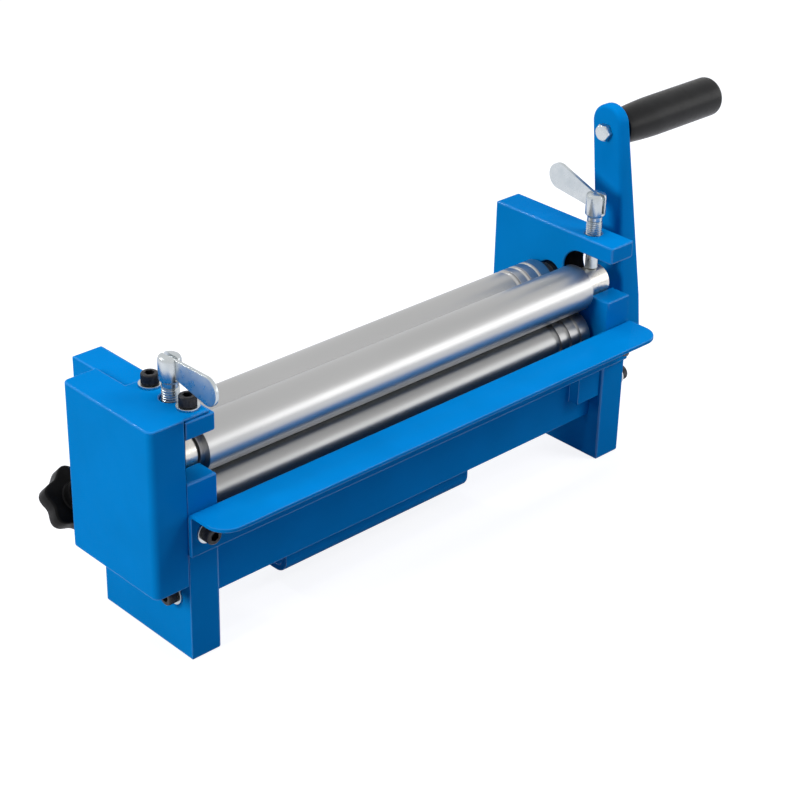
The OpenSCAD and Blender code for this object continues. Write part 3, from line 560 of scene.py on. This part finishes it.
worn_by(joined("tie_socket_screws", *screws), black_oxide, "frame", "blackened_screws", "tie_screws")
bpy.data.objects.remove(long_screw)
vise_screw = socket_screw("vise_screw", vise_hi.y - vise_lo.y - HEAD_H)
vise_z = (vise_lo.z + vise_hi.z) / 2
screws = [
    laid(twin(vise_screw, "angle_screw"), (x, vise_hi.y - HEAD_H, vise_z), (0, 1, 0))
    for x in (vise_lo.x + HEAD_R, vise_hi.x - HEAD_R)
]
worn_by(joined("vise_socket_screws", *screws), black_oxide, "frame", "blackened_screws", "vise_screws")
bpy.data.objects.remove(vise_screw)
for node in ("table_washers", "cover_washers", "tie_washers"):
    eased(node, zinc, 0.0002)

# Gears with their washers and bolts
# Two equal spur gears, hobbed from steel and left oily, on the flats of the upper and
# lower journals. A washer and a hexagon bolt hold each one.
BOLT_D = 0.006
GEAR_HEAD_H = 0.003
gear_steel = finish("oiled_gear_steel", (0.16, 0.155, 0.15, 1), 1, 0.4)
tint(gear_steel, grain(gear_steel, 180), (0.09, 0.088, 0.085, 1), (0.24, 0.23, 0.22, 1))
vary(gear_steel, "Roughness", grain(gear_steel, 500), 0.28, 0.55)
relief(gear_steel, grain(gear_steel, 1800, detail=4), 0.00002)
for node in ("lower_gear", "upper_gear"):
    eased(node, gear_steel, 0.00015, angle=45)
for node in ("lower_gear_washer", "upper_gear_washer", "crank_washer"):
    eased(node, zinc, 0.00015)


def hex_bolt(name, node, body, head_h, side):
    """A zinc-plated bolt in a solid's place, its chamfered hexagon head on one side."""
    lo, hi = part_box(node)
    middle = (lo + hi) / 2
    length = hi.x - lo.x - head_h
    corner = 1.87 * BOLT_D / 2
    head = turned("hexagon", 6, [(corner, 0), (corner, head_h)])
    crown = turned("crown", 48, [
        (corner * 0.93, 0), (corner * 1.01, 0.05 * BOLT_D),
        (corner * 1.01, head_h - 0.14 * BOLT_D), (corner * 0.85, head_h),
    ])
    cut(head, crown, "INTERSECT")
    rounded(head, 0.0002, angle=20)
    root, crest = BOLT_D / 2 - 0.1 * BOLT_D, BOLT_D / 2 - FIT
    shank = threaded("shank", root, crest, BOLT_D / 6, -length + 0.0006, 0.0004, 24)
    tip = turned("tip", 24, [(root - 0.0006, -length), (root, -length + 0.0008)])
    bolt = joined(name, head, shank, tip)
    under_head = hi.x - head_h if side > 0 else lo.x + head_h
    laid(bolt, (under_head, middle.y, middle.z), (side, 0, 0))
    worn_by(bolt, zinc, body, "zinc_fittings", node)


hex_bolt("lower_gear_hex_bolt", "lower_gear_bolt", "driven_roller", GEAR_HEAD_H, -1)
hex_bolt("upper_gear_hex_bolt", "upper_gear_bolt", "pinch_roller", GEAR_HEAD_H, -1)

# Gear cover
# Sheet steel folded round the gears and welded, open below and toward the plate. Its
# notched tongue is screwed down on the left plate's top. Sprayed like the plates.
eased("gear_cover", enamel, 0.0009, sides=4, edge_finish=thick_enamel)

# Crank arm, its bolts and the grip
# A steel arm milled to a taper, sprayed blue and bolted to the lower journal. The grip
# is moulded in black plastic and turns on a hexagon bolt through the arm.
ARM_W = 0.023
ARM_BELOW, ARM_TOP = 0.012, 0.1398
ARM_STEPS = 24
HUB_T, END_T = 0.018, 0.009
ARM_ROUNDING = 0.0024
BOSS_R, BOSS_H = 0.011, 0.0115
LEAN = math.radians(6.4)
BORE_R, HANDLE_BORE_R = 0.00805, 0.0033
HANDLE_AT = 0.123
CRANK_HEAD_H, HANDLE_HEAD_H = 0.004, 0.0045
gear_lo, gear_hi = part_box("lower_gear")
arm_lo, arm_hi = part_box("crank_arm")
journal = Vector((arm_hi.x - HUB_T, *((gear_lo + gear_hi) / 2).yz))
outline = [(-ARM_W / 2, -ARM_BELOW), (ARM_W / 2, -ARM_BELOW)]
for index in range(ARM_STEPS + 1):
    a = math.pi * index / ARM_STEPS
    outline.append((ARM_W / 2 * math.cos(a), ARM_TOP - ARM_W / 2 + ARM_W / 2 * math.sin(a)))
bpy.ops.object.select_all(action="DESELECT")
bpy.ops.mesh.primitive_circle_add(
    vertices=len(outline), radius=ARM_W, fill_type="NGON", location=(0, 0, 0),
)
arm = bpy.context.object
for vertex, (y, z) in zip(arm.data.vertices, outline):
    vertex.co = (0, y, z)
bpy.ops.object.mode_set(mode="EDIT")
bpy.ops.mesh.select_all(action="SELECT")
bpy.ops.mesh.extrude_region_move(TRANSFORM_OT_translate={"value": (HUB_T, 0, 0)})
bpy.ops.mesh.select_all(action="SELECT")
bpy.ops.mesh.normals_make_consistent(inside=False)
fall = (HUB_T - END_T) / (ARM_TOP - ARM_W / 2)
bpy.ops.mesh.bisect(
    plane_co=(HUB_T, 0, ARM_W / 2), plane_no=(1, 0, fall),
    use_fill=True, clear_outer=True, threshold=CUT_GAP,
)
bpy.ops.object.mode_set(mode="OBJECT")
rounded(arm, ARM_ROUNDING, sides=4, angle=30)
boss = turned("boss", 64, [(BOSS_R - 0.0005, 0), (BOSS_R, 0.0005), (BOSS_R, BOSS_H)])
laid(boss, (arm_lo.x - journal.x, 0, 0), (1, 0, 0))
cut(arm, boss, "UNION")
for radius, height in ((BORE_R, 0), (HANDLE_BORE_R, HANDLE_AT)):
    bore = turned("bore", 64, [(radius, -0.02), (radius, 0.04)])
    cut(arm, laid(bore, (0, 0, height), (1, 0, 0)))
alone(arm)
bpy.ops.object.shade_smooth_by_angle(angle=math.radians(30))
arm.rotation_euler = (-LEAN, 0, 0)
arm.location = journal
bpy.ops.object.transform_apply(location=True, rotation=True, scale=True)
arm.name = arm.data.name = "tapered_crank_arm"
worn_by(arm, enamel, "driven_roller", "painted_frame", "crank_arm")
hex_bolt("crank_hex_bolt", "crank_bolt", "driven_roller", CRANK_HEAD_H, 1)
hex_bolt("handle_hex_bolt", "handle_bolt", "driven_roller", HANDLE_HEAD_H, -1)

GRIP_R, GRIP_ROOT_R = 0.01275, 0.011
GRIP_ROOT_EDGE, GRIP_END_ROUND = 0.0012, 0.004
GRIP_SWELL = 0.38
GRIP_BORE_R, GRIP_BORE_DEPTH = 0.00306, 0.8
black_plastic = finish("moulded_black_plastic", (0.006, 0.006, 0.006, 1), 0, 0.36)
black_plastic.node_tree.nodes["Principled BSDF"].inputs["Specular IOR Level"].default_value = 0.16
tint(black_plastic, grain(black_plastic, 120), (0.004, 0.004, 0.004, 1), (0.007, 0.007, 0.007, 1))
vary(black_plastic, "Roughness", grain(black_plastic, 400), 0.32, 0.42)
relief(black_plastic, grain(black_plastic, 1500, detail=2), 0.000002)
lo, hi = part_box("crank_grip")
middle = (lo + hi) / 2
length = hi.x - lo.x
swell = GRIP_SWELL * length
outline = [
    (GRIP_ROOT_R - GRIP_ROOT_EDGE, 0), (GRIP_ROOT_R - 0.0003, 0.0003),
    (GRIP_ROOT_R, GRIP_ROOT_EDGE),
]
for index in range(1, 11):
    t = index / 10
    radius = GRIP_ROOT_R + (GRIP_R - GRIP_ROOT_R) * math.sin(math.pi / 2 * t)
    outline.append((radius, GRIP_ROOT_EDGE + (swell - GRIP_ROOT_EDGE) * t))
for index in range(1, 9):
    outline.append((GRIP_R, swell + (length - GRIP_END_ROUND - swell) * index / 8))
for index in range(1, 8):
    a = math.pi / 2 * index / 7
    radius = GRIP_R - GRIP_END_ROUND * (1 - math.cos(a))
    outline.append((radius, length - GRIP_END_ROUND * (1 - math.sin(a))))
outline += [(0.0062, length), (0.0058, length - 0.0004), (0.0054, length), (0.002, length)]
grip = turned("grip", 72, outline)
bore = turned("bore", 32, [(GRIP_BORE_R, -0.001), (GRIP_BORE_R, GRIP_BORE_DEPTH * length)])
cut(grip, bore)
alone(grip)
bpy.ops.object.shade_smooth_by_angle(angle=math.radians(35))
laid(grip, (lo.x, middle.y, middle.z), (1, 0, 0))
worn_by(grip, black_plastic, "grip", "black_plastic", "crank_grip")

# Thumb screws, tab pins and tabs
# Steel screws with a rolled thread, a smooth tip that bears on the bush and a forked
# head. A stamped tab folds on a pin in the fork. All are zinc-plated.
THUMB_ROOT_R, THUMB_CREST_R, THUMB_PITCH = 0.0042, 0.00498, 0.0015
THREAD_BELOW_TOP = 0.013
TIP_R, NECK_R = 0.004, 0.0047
FORK_H, NECK_H = 0.014, 0.0042
FORK_SLOT = (0.00232, 0.03, 0.0145)
SLOT_BELOW_PIN = 0.0065
RIVET_R = 0.0015
for side, body in (("left", "left_clamp"), ("right", "right_clamp")):
    lo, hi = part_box(f"{side}_thumb_screw")
    middle = (lo + hi) / 2
    pin_lo, pin_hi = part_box(f"{side}_tab_pin")
    pin = (pin_lo + pin_hi) / 2
    plate_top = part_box(f"{side}_side_plate")[1].z
    fork_r = (hi.x - lo.x) / 2
    fork_z = hi.z - FORK_H
    thread_start = plate_top - THREAD_BELOW_TOP
    neck_z = fork_z - NECK_H
    shank = threaded(
        "shank", THUMB_ROOT_R, THUMB_CREST_R, THUMB_PITCH, thread_start, neck_z, 32,
    )
    tip = turned("tip", 40, [
        (TIP_R - 0.0006, lo.z), (TIP_R, lo.z + 0.0006), (TIP_R, thread_start + 0.0004),
    ])
    fork = turned("fork", 56, [
        (NECK_R - 0.0004, neck_z - 0.0004), (NECK_R - 0.0004, neck_z),
        (NECK_R, neck_z + 0.0003), (NECK_R, fork_z - 0.0014), (fork_r - 0.0003, fork_z),
        (fork_r, fork_z + 0.0006), (fork_r, hi.z - 0.0022), (fork_r - 0.0005, hi.z - 0.0008),
        (fork_r - 0.0016, hi.z - 0.0001), (fork_r - 0.0022, hi.z),
    ])
    bpy.ops.object.select_all(action="DESELECT")
    bpy.ops.mesh.primitive_cube_add(size=1, location=(0, 0, 0))
    slot = bpy.context.object
    slot.scale = FORK_SLOT
    slot.location = (0, 0, pin.z - SLOT_BELOW_PIN + FORK_SLOT[2] / 2)
    bpy.ops.object.transform_apply(location=True, rotation=True, scale=True)
    cut(fork, slot)
    rounded(fork, 0.00035)
    whole = joined(f"{side}_threaded_thumb_screw", fork, shank, tip)
    laid(whole, (middle.x, middle.y, 0), (0, 0, 1))
    worn_by(whole, zinc, body, "zinc_fittings", f"{side}_thumb_screw")
    half = (pin_hi.x - pin_lo.x) / 2
    rivet = turned("rivet", 32, [
        (RIVET_R - 0.0007, -half), (RIVET_R - 0.0003, -half + 0.00015),
        (RIVET_R, -half + 0.0006), (RIVET_R, half - 0.0006),
        (RIVET_R - 0.0003, half - 0.00015), (RIVET_R - 0.0007, half),
    ])
    alone(rivet)
    bpy.ops.object.shade_smooth_by_angle(angle=math.radians(40))
    rivet.name = f"{side}_tab_rivet"
    laid(rivet, pin, (1, 0, 0))
    worn_by(rivet, zinc, body, "zinc_fittings", f"{side}_tab_pin")
    eased(f"{side}_tab", zinc, 0.0005, sides=3)

# Adjusting screws and star knobs
# Zinc-plated studs through the slanted edges push the rear blocks. A star knob of
# black plastic with six lobes is moulded onto each stud's end.
knob_plastic = finish("pressed_black_plastic", (0.003, 0.003, 0.003, 1), 0, 0.4)
knob_plastic.node_tree.nodes["Principled BSDF"].inputs["Specular IOR Level"].default_value = 0.06
tint(knob_plastic, grain(knob_plastic, 120), (0.002, 0.002, 0.002, 1), (0.004, 0.004, 0.004, 1))
vary(knob_plastic, "Roughness", grain(knob_plastic, 400), 0.34, 0.46)
relief(knob_plastic, grain(knob_plastic, 1500, detail=2), 0.000002)
STUD_R, STUD_ROOT_R, STUD_CREST_R, STUD_PITCH = 0.004, 0.0033, 0.00398, 0.00125
STUD_END_R, STUD_CHAMFER = 0.0027, 0.0006
LOBES, LOBE_DEPTH, LOBES_FROM_R = 6, 0.0034, 0.0115
KNOB_R, KNOB_T, KNOB_ROUND = 0.02, 0.012, 0.0015
HUB_R, HUB_LENGTH = 0.009, 0.008
DISH_R, KNOB_BORE_R = 0.0122, 0.0041
slide = Vector((0, math.sqrt(0.5), -math.sqrt(0.5)))
for side, body in (("left", "left_adjuster"), ("right", "right_adjuster")):
    lo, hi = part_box(f"{side}_adjusting_screw")
    x = (lo.x + hi.x) / 2
    rise = STUD_R * math.sqrt(0.5)
    start = Vector((x, lo.y + rise, hi.z - rise))
    length = (hi.y - lo.y - 2 * rise) * math.sqrt(2)
    stud = threaded(
        "stud", STUD_ROOT_R, STUD_CREST_R, STUD_PITCH, STUD_CHAMFER, length - STUD_CHAMFER, 28,
    )
    nose = turned("nose", 28, [(STUD_END_R, 0), (STUD_ROOT_R, 0.0008)])
    tail = turned("tail", 28, [(STUD_ROOT_R, length - 0.0008), (STUD_END_R, length)])
    whole = joined(f"{side}_threaded_stud", stud, nose, tail)
    laid(whole, start, slide)
    worn_by(whole, zinc, body, "zinc_fittings", f"{side}_adjusting_screw")

    knob = turned("knob", 120, [
        (HUB_R - 0.0005, -HUB_LENGTH), (HUB_R, -HUB_LENGTH + 0.0006), (HUB_R, -0.0008),
        (HUB_R + 0.0008, 0), (KNOB_R - KNOB_ROUND, 0), (KNOB_R - KNOB_ROUND / 2, 0.0002),
        (KNOB_R - 0.0002, KNOB_ROUND / 2), (KNOB_R, KNOB_ROUND), (KNOB_R, KNOB_T - KNOB_ROUND),
        (KNOB_R - 0.0002, KNOB_T - KNOB_ROUND / 2), (KNOB_R - KNOB_ROUND / 2, KNOB_T - 0.0002),
        (KNOB_R - KNOB_ROUND, KNOB_T), (DISH_R + 0.0004, KNOB_T), (DISH_R, KNOB_T - 0.0003),
        (0.002, KNOB_T - 0.0003),
    ])
    for vertex in knob.data.vertices:
        out = math.hypot(vertex.co.x, vertex.co.y)
        if out > LOBES_FROM_R:
            wave = LOBE_DEPTH / 2 * (math.cos(LOBES * math.atan2(vertex.co.x, vertex.co.y)) - 1)
            grow = 1 + wave / out
            vertex.co.x *= grow
            vertex.co.y *= grow
    bore = turned("bore", 40, [(KNOB_BORE_R, -HUB_LENGTH - 0.001), (KNOB_BORE_R, KNOB_T / 2)])
    cut(knob, bore)
    alone(knob)
    bpy.ops.object.shade_smooth_by_angle(angle=math.radians(32))
    knob.name = f"{side}_lobed_knob"
    laid(knob, start + slide * (length - KNOB_T / 2), slide)
    worn_by(knob, knob_plastic, body, "black_plastic", f"{side}_star_knob")
